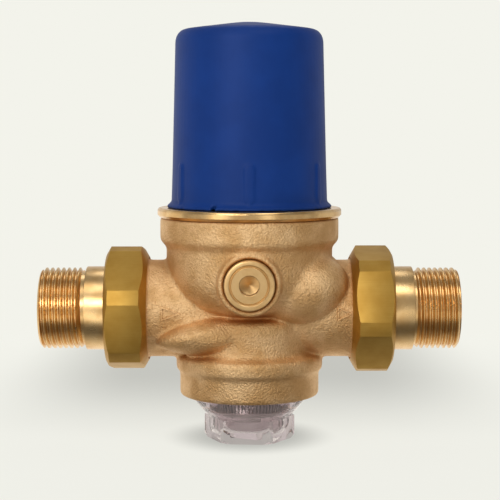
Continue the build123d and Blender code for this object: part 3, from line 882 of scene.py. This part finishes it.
@dataclass
class Casting:
    """The sand casting: its CAD shape with cast blends in the creases and an arrow on each port."""

    finish: CastFinish = field(default_factory=CastFinish)
    voxel: float = 0.5 * MM
    blend_rounds: int = 13
    most_triangles: int = 185_000
    crisp_angle: float = 50
    port_radius: float = 15.8 * MM
    arrow_width: float = 4.9 * MM
    arrow_line: float = 0.55 * MM
    arrow_proud: float = 0.28 * MM
    arrow_root: float = 1.0 * MM
    arrow_edge: float = 0.16 * MM
    arrow_places: tuple[tuple[float, float], ...] = ((-26.0 * MM, 6.5 * MM), (29.6 * MM, 5.0 * MM))
    shoulder_radius: float = 20.7 * MM
    shoulder_top: float = 38.7 * MM
    shoulder_depth: float = 9.0 * MM
    shoulder_rounding: float = 2.6 * MM
    shoulder_bore: float = 17.0 * MM
    shoulder_tool: float = 20.0 * MM
    outlet_swell: tuple[Point, Point, float] = (
        (15.0 * MM, 11.0 * MM, 48.8 * MM), (16.0 * MM, 11.6 * MM, 12.0 * MM), 0.0
    )
    inlet_swell: tuple[Point, Point, float] = (
        (-12.0 * MM, 11.0 * MM, 33.2 * MM), (16.5 * MM, 10.4 * MM, 5.9 * MM), -6.0
    )
    lining_outside: float = 9.2 * MM
    lining_inside: float = 8.05 * MM
    lining_front: float = 27.45 * MM
    lining_depth: float = 2.0 * MM

    def arrow(self, centre: float, length: float) -> Piece:
        """Model one outlined arrow head that stands out of a port, pointing along the flow.

        Args:
            centre: Where its middle is along X.
            length: Its length along X.

        Returns:
            The arrow head.
        """
        rest()
        bpy.ops.mesh.primitive_circle_add(vertices=3, radius=MM, fill_type="NGON", location=(0, 0, 0))
        made = turn_piece(settle(bpy.context.object), -90)
        made.scale = (length / made.dimensions.x, self.arrow_width / made.dimensions.y, 1)
        turn_piece(settle(made), 90, Axis.X)
        shift(made, (centre, self.arrow_root - self.port_radius, PORT_HEIGHT))
        bpy.ops.object.mode_set(mode="EDIT")
        bpy.ops.mesh.select_mode(type="FACE")
        bpy.ops.mesh.select_all(action="SELECT")
        bpy.ops.mesh.inset(thickness=self.arrow_line, use_boundary=True)
        bpy.ops.mesh.delete(type="FACE")
        bpy.ops.mesh.select_all(action="SELECT")
        depth = -self.arrow_root - self.arrow_proud
        bpy.ops.mesh.extrude_region_move(TRANSFORM_OT_translate={"value": (0, depth, 0)})
        rest()
        clean(made)
        return modify(made, "BEVEL", width=self.arrow_edge, segments=2, limit_method="ANGLE")

    def swell(self, centre: Point, half_sizes: Point, tilt: float, side: int) -> Piece:
        """Model the soft bulge over one of the waterways.

        Args:
            centre: Its middle, with Y counted towards the side that it is on.
            half_sizes: Half its sizes.
            tilt: Its slope along X, in degrees.
            side: -1 on the gauge plug's side, 1 on the back.

        Returns:
            The bulge.
        """
        rest()
        x, y, z = centre
        bpy.ops.mesh.primitive_uv_sphere_add(segments=96, ring_count=48, radius=1.0, location=(0, 0, 0))
        made = bpy.context.object
        made.scale = half_sizes
        turn_piece(settle(made), tilt, Axis.Y)
        return shift(made, (x, side * y, z))

    def shoulder(self) -> Piece:
        """Model the flat top of the strainer chamber's wall, with a rounded edge.

        Returns:
            The ring that forms it.
        """
        rest()
        middle = self.shoulder_top - self.shoulder_depth / 2
        bpy.ops.mesh.primitive_cylinder_add(
            vertices=144, radius=self.shoulder_radius, depth=self.shoulder_depth, location=(0, 0, middle)
        )
        made = settle(bpy.context.object)
        modify(made, "BEVEL", width=self.shoulder_rounding, segments=6, limit_method="ANGLE")
        bpy.ops.mesh.primitive_cylinder_add(
            vertices=96, radius=self.shoulder_bore, depth=self.shoulder_tool, location=(0, 0, middle)
        )
        return combine(made, settle(bpy.context.object), Operation.CUT)

    def lining(self) -> Piece:
        """Model the thin wall that stands close round the head of the gauge plug.

        Returns:
            The wall.
        """
        front = self.lining_front
        back = front - self.lining_depth
        made = lathe("boss_lining", [
            (back, self.lining_inside),
            (back, self.lining_outside),
            (front, self.lining_outside),
            (front, self.lining_inside),
        ])
        return shift(turn_piece(made, -90), (0, 0, GAUGE_HEIGHT))

    def build(self) -> None:
        """Blend, grain and enrol the casting."""
        piece = copy_of("valve_body", "cast_body_skin")
        added = [self.swell(*self.inlet_swell, side) for side in (-1, 1)]
        added += [self.swell(*self.outlet_swell, side) for side in (-1, 1)]
        added += [self.shoulder(), self.lining()]
        choose(piece, added)
        bpy.ops.object.join()
        draw_foot_down(recast(piece, self.voxel, self.blend_rounds, self.most_triangles))
        arrows = [self.arrow(centre, length) for centre, length in self.arrow_places]
        choose(piece, arrows)
        bpy.ops.object.join()
        smooth(piece, self.crisp_angle)
        dress(piece, self.finish.material())
        enrol(piece, Body.CASTING, "valve_body")


@dataclass
class PipeUnion:
    """One end of the valve: the tailpiece with its pipe thread, and the hexagon nut that holds it."""

    side: Side
    nut_turn: float
    tail_material: bpy.types.Material
    nut_material: bpy.types.Material
    collar_start: float = 41.5 * MM
    collar_end: float = 43.8 * MM
    collar_radius: float = 16.3 * MM
    barrel_end: float = 53.0 * MM
    barrel_radius: float = 13.6 * MM
    barrel_edge: float = 0.25 * MM
    barrel_corner: float = 0.07 * MM
    relief_width: float = 0.7 * MM
    tail_end: float = 67.8 * MM
    tail_bore: float = 10.0 * MM
    lead_in: float = 1.0 * MM
    thread_radius: float = 13.22 * MM
    thread_depth: float = 1.12 * MM
    thread_pitch: float = 1.814 * MM
    crest: float = 0.22 * MM
    crest_side: float = 0.08 * MM
    crest_drop: float = 0.07 * MM
    root: float = 0.26 * MM
    root_overlap: float = 0.3 * MM
    run_in: float = 0.2 * MM
    run_out: float = 1.3
    relief_overlap: float = 0.1 * MM
    slack: float = 0.02 * MM
    tail_crisp_angle: float = 35
    nut_start: float = 32.7 * MM
    nut_end: float = 46.3 * MM
    nut_flats: float = 37.8 * MM
    nut_corners: float = 40.9 * MM
    nut_thread_bore: float = 16.7 * MM
    nut_hole: float = 13.85 * MM
    nut_mouth: float = 0.35 * MM
    inner_chamfer: float = 2.1 * MM
    outer_chamfer: float = 1.5 * MM
    chamfer_angle: float = 30
    nut_edge: float = 0.22 * MM
    nut_merge_gap: float = 0.004 * MM
    nut_crisp_angle: float = 24
    tool_core: float = 0.1 * MM
    tool_overshoot: float = 1.0 * MM

    def on_side(self, piece: Piece) -> Piece:
        """Move a piece from the X axis to the port axis, on this union's side."""
        return turn_piece(shift(piece, (0, 0, PORT_HEIGHT)), 0 if self.side is Side.OUTLET else 180)

    def tooth(self) -> Piece:
        """Model the thread's ridge as one coil, longer than the thread at both ends.

        Returns:
            The closed coil, on the X axis.
        """
        flank_foot = self.thread_radius - self.thread_depth
        base = flank_foot - self.root_overlap
        foot = (self.thread_pitch - self.root) / 2
        flat = self.crest / 2
        start = self.barrel_end + self.relief_width - self.run_in
        turns = math.ceil((self.tail_end - start) / self.thread_pitch) + 1
        piece = trace([
            (start - foot, base),
            (start - foot, flank_foot),
            (start - flat - self.crest_side, self.thread_radius - self.crest_drop),
            (start - flat, self.thread_radius),
            (start + flat, self.thread_radius),
            (start + flat + self.crest_side, self.thread_radius - self.crest_drop),
            (start + foot, flank_foot),
            (start + foot, base),
        ])
        bpy.ops.mesh.edge_face_add()
        rest()
        modify(
            piece, "SCREW", axis="X", angle=math.tau, steps=96, render_steps=96,
            screw_offset=self.thread_pitch, iterations=turns, use_merge_vertices=False,
        )
        choose(clean(piece))
        bpy.ops.object.mode_set(mode="EDIT")
        bpy.ops.mesh.select_all(action="SELECT")
        bpy.ops.mesh.fill_holes(sides=0)
        rest()
        return clean(piece)

    def thread_limit(self) -> Piece:
        """Turn the room that the thread may fill, with its run-out and lead-in.

        Returns:
            The room, on the X axis.
        """
        relief = self.thread_radius - self.thread_depth
        relief_end = self.barrel_end + self.relief_width
        inside = self.tail_bore + self.tool_overshoot
        outside = self.thread_radius + self.slack
        return lathe("thread_limit", [
            (relief_end, inside),
            (relief_end, relief - self.relief_overlap),
            (relief_end + self.run_out * self.thread_depth, outside),
            (self.tail_end - self.lead_in, outside),
            (self.tail_end - self.slack, self.thread_radius - self.lead_in),
            (self.tail_end - self.slack, inside),
        ])

    def tail(self) -> None:
        """Turn the tailpiece, cut its thread and enrol it."""
        name = self.side.name.lower()
        relief = self.thread_radius - self.thread_depth
        piece = lathe(f"{name}_threaded_tail", [
            (self.collar_start, self.tail_bore),
            (self.collar_start, self.collar_radius),
            (self.collar_end, self.collar_radius),
            (self.collar_end, self.barrel_radius),
            (self.barrel_end - self.barrel_edge, self.barrel_radius),
            (self.barrel_end - self.barrel_corner, self.barrel_radius - self.barrel_corner),
            (self.barrel_end, self.barrel_radius - self.barrel_edge),
            (self.barrel_end, relief),
            (self.tail_end, relief),
            (self.tail_end, self.tail_bore + self.lead_in / 2),
            (self.tail_end - self.lead_in / 2, self.tail_bore),
        ])
        ridge = combine(self.tooth(), self.thread_limit(), Operation.KEEP)
        clean(combine(piece, ridge, Operation.ADD))
        smooth(self.on_side(piece), self.tail_crisp_angle)
        dress(piece, self.tail_material)
        body = Body.INLET_TAIL if self.side is Side.INLET else Body.OUTLET_TAIL
        enrol(piece, body, f"{name}_tailpiece")

    def bar(self) -> Piece:
        """Model a length of hexagon bar with cut corners.

        Returns:
            The bar, along the X axis.
        """
        middle = (self.nut_start + self.nut_end) / 2
        length = self.nut_end - self.nut_start
        rest()
        prisms = []
        for flats, turn in ((self.nut_flats, 30), (self.nut_corners, 60)):
            bpy.ops.mesh.primitive_cylinder_add(
                vertices=6, radius=flats / math.sqrt(3), depth=length, location=(0, 0, 0)
            )
            prism = turn_piece(settle(bpy.context.object), turn)
            prisms.append(shift(turn_piece(prism, 90, Axis.Y), (middle, 0, 0)))
        return combine(prisms[0], prisms[1], Operation.KEEP)

    def nut(self) -> None:
        """Chamfer and bore the nut, turn it as it stands on the valve, and enrol it."""
        name = self.side.name.lower()
        slope = math.tan(math.radians(self.chamfer_angle))
        over = self.tool_overshoot
        reach = self.nut_corners / 2
        piece = self.bar()
        piece.name = f"{name}_hexagon_nut"
        limit = lathe("nut_limit", [
            (self.nut_start - over, self.tool_core),
            (self.nut_start - over, reach - (self.inner_chamfer + over) / slope),
            (self.nut_start + self.inner_chamfer + over * slope, reach + over),
            (self.nut_end - self.outer_chamfer - over * slope, reach + over),
            (self.nut_end + over, reach - (self.outer_chamfer + over) / slope),
            (self.nut_end + over, self.tool_core),
        ], 192)
        combine(piece, limit, Operation.KEEP)
        bores = lathe("nut_bores", [
            (self.nut_start - over, self.tool_core / 2),
            (self.nut_start - over, self.nut_thread_bore),
            (self.collar_end, self.nut_thread_bore),
            (self.collar_end, self.nut_hole),
            (self.nut_end - self.nut_mouth, self.nut_hole),
            (self.nut_end + over, self.nut_hole + self.nut_mouth + over),
            (self.nut_end + over, self.tool_core / 2),
        ])
        combine(piece, bores, Operation.CUT)
        turn_piece(piece, -self.nut_turn, Axis.X)
        clean(piece, self.nut_merge_gap)
        modify(
            piece, "BEVEL", width=self.nut_edge, segments=2, limit_method="ANGLE",
            angle_limit=math.radians(self.nut_crisp_angle), harden_normals=False,
        )
        smooth(self.on_side(clean(piece)), self.nut_crisp_angle)
        dress(piece, self.nut_material)
        body = Body.INLET_NUT if self.side is Side.INLET else Body.OUTLET_NUT
        enrol(piece, body, f"{name}_union_nut")

    def build(self) -> None:
        """Build both pieces of the union."""
        self.tail()
        self.nut()


@dataclass
class Cap:
    """The moulded cap over the spring housing, with soft edges and a high, flat crown."""

    material: bpy.types.Material
    voxel: float = 0.5 * MM
    soft_rounds: int = 1
    most_triangles: int = 130_000
    crown_level: float = 126.0 * MM
    crown_rise: float = 1.65 * MM
    crown_dome: float = 0.9 * MM
    crown_rounds: int = 150
    crisp_angle: float = 60

    def build(self) -> None:
        """Lift and round the crown of the cap's own shape, soften its edges and enrol it."""
        piece = copy_of("adjusting_cap", "moulded_cap")
        top = max(corner[2] for corner in piece.bound_box)
        factor = 1 + self.crown_rise / (top - self.crown_level)
        recast(piece, self.voxel, self.soft_rounds, self.most_triangles)
        stretch_where(piece, lambda height: height > self.crown_level, self.crown_level, factor)
        select_where(piece, lambda height: height > top - self.crown_dome)
        bpy.ops.mesh.vertices_smooth(factor=0.5, repeat=self.crown_rounds)
        smooth(piece, self.crisp_angle)
        dress(piece, self.material)
        enrol(piece, Body.CAP, "adjusting_cap")


@dataclass
class ClearBowl:
    """The clear bowl under the strainer, with its hexagon foot."""

    material: bpy.types.Material
    crisp_angle: float = 30
    face_weight: int = 80

    def build(self) -> None:
        """Draw the bowl's own shape down to the floor, shade its flats even and enrol it."""
        piece = draw_foot_down(copy_of("clear_bowl", "moulded_clear_bowl"))
        smooth(piece, self.crisp_angle)
        modify(piece, "WEIGHTED_NORMAL", keep_sharp=True, weight=self.face_weight)
        dress(piece, self.material)
        enrol(piece, Body.BOWL, "clear_bowl")


@dataclass
class GaugePlug:
    """The turned plug of the gauge port, with a stepped face and a drilled centre.

    rim_steps runs over the head's edge: how far each corner is below the face and in from the edge.
    groove_steps runs round the disc in the face: how far each corner is below the face and outside it.
    """

    material: bpy.types.Material
    face: float = 29.6 * MM
    underside: float = 26.1 * MM
    thread_end: float = 20.5 * MM
    thread_radius: float = 6.58 * MM
    thread_chamfer: float = 0.5 * MM
    head_radius: float = 7.9 * MM
    disc_radius: float = 5.7 * MM
    disc_drop: float = 0.04 * MM
    hole_radius: float = 3.05 * MM
    hole_depth: float = 3.4 * MM
    hole_edge: float = 0.22 * MM
    centre_hole: float = 0.02 * MM
    rim_steps: tuple[tuple[float, float], ...] = (
        (0.55 * MM, 0.0), (0.30 * MM, 0.08 * MM), (0.10 * MM, 0.28 * MM), (0.0, 0.60 * MM)
    )
    groove_steps: tuple[tuple[float, float], ...] = (
        (0.0, 0.75 * MM), (0.12 * MM, 0.55 * MM), (0.42 * MM, 0.32 * MM),
        (0.42 * MM, 0.18 * MM), (0.16 * MM, 0.0), (0.06 * MM, -0.14 * MM),
    )
    crisp_angle: float = 24

    def build(self) -> None:
        """Turn the plug and enrol it."""
        face, hole = self.face, self.hole_radius
        piece = lathe("turned_gauge_plug", [
            (self.thread_end, self.centre_hole),
            (self.thread_end, self.thread_radius - self.thread_chamfer),
            (self.thread_end + self.thread_chamfer, self.thread_radius),
            (self.underside, self.thread_radius),
            (self.underside, self.head_radius),
            *[(face - drop, self.head_radius - inset) for drop, inset in self.rim_steps],
            *[(face - drop, self.disc_radius + outset) for drop, outset in self.groove_steps],
            (face - self.disc_drop, hole + self.hole_edge),
            (face - self.hole_edge, hole),
            (face - self.hole_depth, hole),
            (face - self.hole_depth - hole / 2, self.centre_hole),
        ], 160)
        smooth(shift(turn_piece(piece, -90), (0, 0, GAUGE_HEIGHT)), self.crisp_angle)
        dress(piece, self.material)
        enrol(piece, Body.PLUG, "gauge_plug")


@dataclass
class Inside:
    """The pieces that keep their CAD shape, most of them inside the valve, by the finish they share."""

    bonnet_brass: TurnedFinish = TurnedFinish(
        "turned_brass_upright", linear(230, 194, 139), linear(208, 162, 99), Axis.Z
    )
    inner_brass: TurnedFinish = TurnedFinish(
        "turned_inner_brass", linear(206, 168, 104), linear(170, 128, 66), Axis.Z, roughness=0.2
    )
    steel: TurnedFinish = TurnedFinish(
        "turned_steel", linear(196, 196, 194), linear(150, 149, 146), Axis.Z, roughness=0.22
    )
    wire: TurnedFinish = TurnedFinish(
        "drawn_spring_wire", linear(120, 120, 124), linear(86, 86, 90), Axis.Z, roughness=0.3
    )
    mesh: TurnedFinish = TurnedFinish(
        "strainer_steel", linear(214, 212, 208), linear(178, 176, 172), Axis.Z, roughness=0.28
    )
    rubber: MouldedFinish = MouldedFinish(
        "black_rubber", linear(34, 34, 35), linear(24, 24, 25), roughness=0.6
    )
    fibre: MouldedFinish = MouldedFinish(
        "pressed_fibre", linear(158, 146, 122), linear(120, 106, 84), roughness=0.8,
        grain=0.6 * MM, grain_depth=0.03 * MM,
    )

    def build(self) -> None:
        """Dress every CAD node that stays."""
        nodes = {
            self.bonnet_brass: ["bonnet"],
            self.mesh: ["strainer"],
            self.wire: ["set_spring"],
            self.rubber: ["diaphragm", "valve_seal", "seat_o_ring", "bowl_o_ring"],
            self.fibre: ["inlet_gasket", "outlet_gasket", "gauge_plug_seal"],
            self.inner_brass: ["poppet", "seat_insert", "slip_ring"],
            self.steel: [
                "adjusting_spindle", "thrust_washer", "spindle_clip", "stem_nut", "poppet_nut",
                "spring_nut_plate", "spring_seat_plate", "diaphragm_support_plate", "valve_stem",
            ],
        }
        for finish, names in nodes.items():
            material = finish.material()
            for name in names:
                dress(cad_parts[name], material)
                log.info("%s: keeps its CAD shape, in %s", name, finish.name)


@dataclass(frozen=True)
class SoftBox:
    """One rectangular lamp, hung in a direction from the valve's middle.

    Azimuth counts to the right of the camera and elevation above the middle, both in degrees.
    Size is its width and height in metres, and power is in watts.
    """

    name: str
    azimuth: float
    elevation: float
    distance: float
    size: Span
    power: float
    colour: Colour
    middle: Point = (0, 0, 0.06)

    def hang(self) -> None:
        """Hang the lamp and point it at the middle."""
        rest()
        turn, rise = math.radians(self.azimuth), math.radians(self.elevation)
        way = Vector((math.sin(turn) * math.cos(rise), -math.cos(turn) * math.cos(rise), math.sin(rise)))
        bpy.ops.object.light_add(type="AREA", location=Vector(self.middle) + way * self.distance)
        made = bpy.context.object
        made.name = self.name
        made.rotation_euler = (-way).to_track_quat("-Z", "Y").to_euler()
        made.data.shape = "RECTANGLE"
        made.data.size, made.data.size_y = self.size
        made.data.energy = self.power
        made.data.color = self.colour


@dataclass
class Studio:
    """Pale sweep, four soft boxes and the camera.

    Metal sees two bright panels in front of the valve, in the world and as a painted reflection in the
    floor. Each panel's two edges are given as slopes x / -y, between which its light fades in or out.
    """

    backdrop: Colour = linear(243, 243, 235)
    floor: Colour = (0.80, 0.82, 0.81)
    floor_size: float = 6.0
    eye: Point = (0.0, -0.452, 0.0985)
    aim: Point = (0.0002, 0.0, 0.0598)
    lens: float = 100.0
    sensor: float = 36.0
    near_clip: float = 0.01
    front_span: Span = (-0.15, 0.20)
    left_edges: tuple[Span, Span] = ((-1.35, -0.95), (-0.62, -0.42))
    right_edges: tuple[Span, Span] = ((0.20, 0.32), (0.50, 0.66))
    left_panel: float = 1.25
    right_panel: float = 0.75
    high_share: float = 0.25
    low_span: Span = (0.02, 0.30)
    ambient: float = 0.26
    sky_tint: Colour = (1.0, 0.985, 0.95)
    behind: float = 0.55
    behind_top: Span = (0.3, 0.8)
    right_loss: float = 0.4
    right_sky_span: Span = (0.0, 0.3)
    right_floor_span: Span = (0.02, 0.20)
    open_share: float = 0.9
    open_span: Span = (0.10, 0.22)
    open_centre: float = 0.01
    open_squeeze: float = 0.55
    # Painted shadow in the floor's colour: a soft shade behind the valve and a dark line under the foot,
    # not cast by the lamps
    shade: float = 0.37
    shade_start: Span = (-0.015, 0.125)
    shade_end: Span = (0.17, 0.34)
    shade_side: Span = (0.045, 0.108)
    contact_shade: float = 0.4
    contact_span: Span = (0.012, 0.030)
    # Painted reflection: the glow that glossy rays see in the floor, darkest just in front of the valve
    mirror_tint: Colour = (1.0, 0.96, 0.88)
    mirror_least: float = 0.12
    mirror_ahead: float = 0.50
    back_span: Span = (-0.03, 0.02)
    ahead_span: Span = (0.05, 0.10)
    lamps: tuple[SoftBox, ...] = (
        SoftBox("left_box", -42, 56, 0.9, (0.45, 0.36), 0.98, (1.0, 0.97, 0.92)),
        SoftBox("right_box", 28, 54, 0.9, (0.34, 0.34), 1.25, (1.0, 0.98, 0.95)),
        SoftBox("front_box", -21, 20, 1.1, (0.60, 0.26), 3.7, (1.0, 0.98, 0.95)),
        SoftBox("back_box", 180, 62, 0.9, (0.6, 0.3), 1.0, (1.0, 1.0, 1.0)),
    )

    def panels(self, x: Value, y: Value) -> tuple[Value, Value]:
        """Say how far a direction or a spot on the floor is in front, and how bright the panels are there.

        Args:
            x: Its reach to the right.
            y: Its reach away from the camera.

        Returns:
            The share in front, and the panels' brightness.
        """
        front = 1 - (y / (x * x + y * y).root()).between(*self.front_span)
        slope = x / (y * -1.0)
        left, right = [
            slope.between(*rise) * (1 - slope.between(*fall)) * front
            for rise, fall in (self.left_edges, self.right_edges)
        ]
        return front, left * self.left_panel + right * self.right_panel

    def camera(self) -> None:
        """Stand the camera where the photograph was taken from."""
        rest()
        bpy.ops.object.camera_add(location=self.eye)
        made = bpy.context.object
        look = Vector(self.aim) - Vector(self.eye)
        made.rotation_euler = look.to_track_quat("-Z", "Y").to_euler()
        made.data.lens = self.lens
        made.data.sensor_width = self.sensor
        made.data.clip_start = self.near_clip
        bpy.context.scene.camera = made

    def world(self) -> None:
        """Give the camera an even backdrop, and everything else softer light."""
        made = bpy.data.worlds.new("studio")
        bpy.context.scene.world = made
        made.use_nodes = True
        bench = ShaderBench(made.node_tree)
        path = bench.node("ShaderNodeLightPath", {}, {})
        x, y, z = bench.coordinates()
        front, panels = self.panels(x, y)
        low = 1 - z.between(*self.low_span)
        behind = self.behind * (1 - self.right_loss * x.between(*self.right_sky_span))
        light = self.ambient + panels * (self.high_share + (1 - self.high_share) * low)
        light = light + behind * (1 - front) * (1 - z.between(*self.behind_top))
        seen = bench.node("ShaderNodeBackground", {}, {"Color": self.backdrop})
        lit = bench.node("ShaderNodeBackground", {}, {"Color": bench.dimmed(self.sky_tint, light)})
        bench.surface(bench.choice(path.outputs["Is Camera Ray"], lit, seen), "ShaderNodeOutputWorld")

    def sweep(self) -> None:
        """Lay the floor: painted shadow darkens it behind and under the valve, it fades into the backdrop,
        and glossy rays see a painted reflection in it.
        """
        rest()
        bpy.ops.mesh.primitive_plane_add(size=self.floor_size, location=(0, 0, FLOOR_LEVEL))
        made = settle(bpy.context.object)
        made.name = "studio_floor"
        material, bench = material_bench("pale_sweep")
        path = bench.node("ShaderNodeLightPath", {}, {})
        x, y, _ = bench.coordinates()
        ahead_of_centre = y - self.open_centre
        reach = ((x * x) * self.open_squeeze + ahead_of_centre * ahead_of_centre).root()
        far = self.open_share + (1 - self.open_share) * reach.between(*self.open_span)
        # Painted shadow: a soft shade behind the valve, and a dark contact line under the foot
        deep = y.between(*self.shade_start) * (1 - y.between(*self.shade_end))
        wide = 1 - (x * x).root().between(*self.shade_side)
        contact_shadow = 1 - (x * x + y * y).root().between(*self.contact_span)
        painted_shadow = (1 - self.shade * deep * wide) * (1 - self.contact_shade * contact_shadow)
        matt = bench.node("ShaderNodeBsdfDiffuse", {}, {"Color": self.floor})
        even = bench.node("ShaderNodeEmission", {}, {"Color": bench.dimmed(self.backdrop, painted_shadow)})
        # Painted reflection: for glossy rays the floor glows with the panels ahead and a bright band
        # behind, though it is no lamp
        back = y.between(*self.back_span) * (1 - self.right_loss * x.between(*self.right_floor_span))
        ahead = (y * -1.0).between(*self.ahead_span)
        _, panels = self.panels(x, y)
        painted_reflection_level = self.mirror_least + back + panels * ahead + self.mirror_ahead * ahead
        painted_reflection = bench.node("ShaderNodeEmission", {}, {"Color": bench.dimmed(self.mirror_tint, painted_reflection_level)})
        glossy = Value(bench, path.outputs["Is Glossy Ray"])
        through = Value(bench, path.outputs["Is Transmission Ray"])
        bench.surface(bench.choice(glossy * (1 - through), bench.choice(far, matt, even), painted_reflection))
        material.cycles.emission_sampling = "NONE"
        dress(made, material)

    def build(self) -> None:
        """Set up camera, world, floor and lamps."""
        bpy.context.scene.view_settings.view_transform = "Standard"
        self.camera()
        self.world()
        self.sweep()
        for lamp in self.lamps:
            lamp.hang()
        log.info("studio: camera, floor and %d soft boxes", len(self.lamps))


def main() -> None:
    """Build every piece of the valve and its studio in order."""
    tail = TurnedFinish(
        "turned_brass_tail", linear(230, 194, 139), linear(208, 162, 99), Axis.X, roughness=0.21
    ).material()
    plug = TurnedFinish(
        "turned_brass_plug", linear(222, 186, 132), linear(202, 162, 106), Axis.Y, roughness=0.32,
        face_rings=True, centre=(0, 0, GAUGE_HEIGHT),
    ).material()
    blue = MouldedFinish("blue_cap_plastic", linear(6, 52, 126), linear(4, 47, 117), 0.44, 0.18).material()
    nut = DrawnFinish().material()
    Inside().build()
    Casting().build()
    GaugePlug(plug).build()
    Cap(blue).build()
    ClearBowl(ClearFinish().material()).build()
    PipeUnion(Side.INLET, 14.2, tail, nut).build()
    PipeUnion(Side.OUTLET, 17.5, tail, nut).build()
    Studio().build()


if __name__ == "__main__":
    main()
